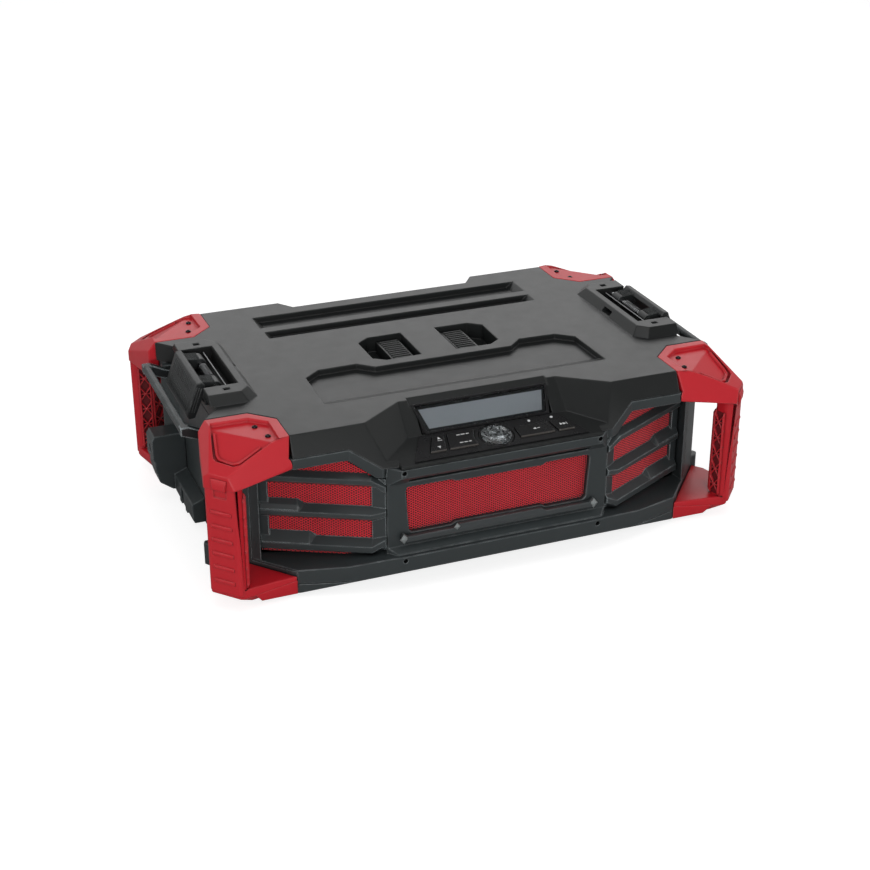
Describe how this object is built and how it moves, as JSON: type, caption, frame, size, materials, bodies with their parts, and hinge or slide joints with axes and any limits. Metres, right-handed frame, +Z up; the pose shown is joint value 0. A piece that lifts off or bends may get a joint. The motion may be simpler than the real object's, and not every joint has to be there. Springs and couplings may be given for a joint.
{
  "type": "jobsite radio",
  "caption": "Low, wide stackable jobsite radio: grey lid, dark tub, red corner bumpers with hand bars, slatted side grilles, tilted display, keys and tuning knob.",
  "frame": {"origin": "centre of the outline on the floor, under the rubber feet", "axes": "+X to the radio's right as seen from its front, +Y to its back, +Z up; the display and grilles face -Y"},
  "size_m": [0.572, 0.3864, 0.179],
  "materials": {
    "dark_shell": "fine spark texture, satin",
    "grey_lid": "fine spark texture, satin",
    "red_shell": "satin",
    "red_cloth": "open woven speaker cloth",
    "black_panel": "satin black",
    "black_plastic": "satin black",
    "smoked_knob": "clear faceted",
    "display_glass": "clear, slightly matt",
    "lcd": "grey liquid crystal",
    "steel": "bright zinc",
    "rubber": "matt",
    "board": "solder mask",
    "paper": "coated paper",
    "light": "white light pipe"
  },
  "bodies": {
    "radio": {"base_tub": "dark_shell", "front_frame": "dark_shell", "centre_cloth": "red_cloth", "centre_bezel": "dark_shell", "lid_cover": "grey_lid", "cap_screws_front": "steel", "cap_screws_rear": "steel", "fascia_screws": "steel", "rubber_feet": "rubber", "control_panel": "black_panel", "encoder": "black_plastic", "control_board": "board", "indicator_lights": "light", "display_bezel": "black_panel", "display_glass": "display_glass", "lcd_module": "lcd", "main_board": "board", "power_supply": "black_plastic", "battery_housing": "black_plastic", "battery_pack": "black_plastic", "battery_terminal": "black_plastic", "door_pin": "steel", "mains_inlet": "black_plastic", "bumper_front_right": "red_shell", "bumper_front_left": "red_shell", "bumper_rear_right": "red_shell", "bumper_rear_left": "red_shell", "grille_right": "dark_shell", "grille_left": "dark_shell", "speaker_cloth_right": "red_cloth", "speaker_cloth_left": "red_cloth", "speaker_baffle_right": "dark_shell", "speaker_baffle_left": "dark_shell", "speaker_basket_right": "steel", "speaker_basket_left": "steel", "speaker_cone_right": "paper", "speaker_cone_left": "paper", "latch_pin_right": "steel", "latch_pin_left": "steel", "latch_spring_right": "steel", "latch_spring_left": "steel", "stacking_bracket_right": "black_plastic", "stacking_bracket_left": "black_plastic", "catch_plate_right": "grey_lid", "catch_plate_left": "grey_lid"},
    "knob": {"tuning_knob": "smoked_knob"},
    "rear_door": {"battery_door": "black_plastic"},
    "key_far_left": {"key_far_left": "black_panel"},
    "key_left": {"key_left": "black_panel"},
    "key_right": {"key_right": "black_panel"},
    "key_far_right": {"key_far_right": "black_panel"},
    "latch_right": {"latch_lever_right": "black_plastic"},
    "handle_right": {"carry_handle_right": "black_plastic"},
    "latch_left": {"latch_lever_left": "black_plastic"},
    "handle_left": {"carry_handle_left": "black_plastic"}
  },
  "joints": [
    {"name": "tuning_knob_turn", "type": "hinge", "parent": "radio", "child": "knob", "pos_m": [0, -0.16876, 0.1367], "axis": [0, -0.2011, 0.9796], "continuous": true},
    {"name": "key_far_left_press", "type": "slide", "parent": "radio", "child": "key_far_left", "axis": [0, 0.2011, -0.9796], "range_m": [0, 0.0012], "stiffness_N_per_m": 300, "springref_m": -0.0006},
    {"name": "key_left_press", "type": "slide", "parent": "radio", "child": "key_left", "axis": [0, 0.2011, -0.9796], "range_m": [0, 0.0012], "stiffness_N_per_m": 300, "springref_m": -0.0006},
    {"name": "key_right_press", "type": "slide", "parent": "radio", "child": "key_right", "axis": [0, 0.2011, -0.9796], "range_m": [0, 0.0012], "stiffness_N_per_m": 300, "springref_m": -0.0006},
    {"name": "key_far_right_press", "type": "slide", "parent": "radio", "child": "key_far_right", "axis": [0, 0.2011, -0.9796], "range_m": [0, 0.0012], "stiffness_N_per_m": 300, "springref_m": -0.0006},
    {"name": "latch_right_hinge", "type": "hinge", "parent": "radio", "child": "latch_right", "pos_m": [0.238, 0.0092, 0.17], "axis": [0, -1, 0], "range_deg": [0, 60], "stiffness_Nm_per_rad": 0.3, "springref_deg": -17.19},
    {"name": "carry_handle_right_hinge", "type": "hinge", "parent": "radio", "child": "handle_right", "pos_m": [0.259, 0.0092, 0.14], "axis": [0, -1, 0], "range_deg": [0, 44]},
    {"name": "latch_left_hinge", "type": "hinge", "parent": "radio", "child": "latch_left", "pos_m": [-0.238, 0.0092, 0.17], "axis": [0, 1, 0], "range_deg": [0, 60], "stiffness_Nm_per_rad": 0.3, "springref_deg": -17.19},
    {"name": "carry_handle_left_hinge", "type": "hinge", "parent": "radio", "child": "handle_left", "pos_m": [-0.259, 0.0092, 0.14], "axis": [0, 1, 0], "range_deg": [0, 44]},
    {"name": "battery_door_hinge", "type": "hinge", "parent": "radio", "child": "rear_door", "pos_m": [0, 0.1876, 0.0345], "axis": [-1, 0, 0], "range_deg": [0, 110]}
  ]
}
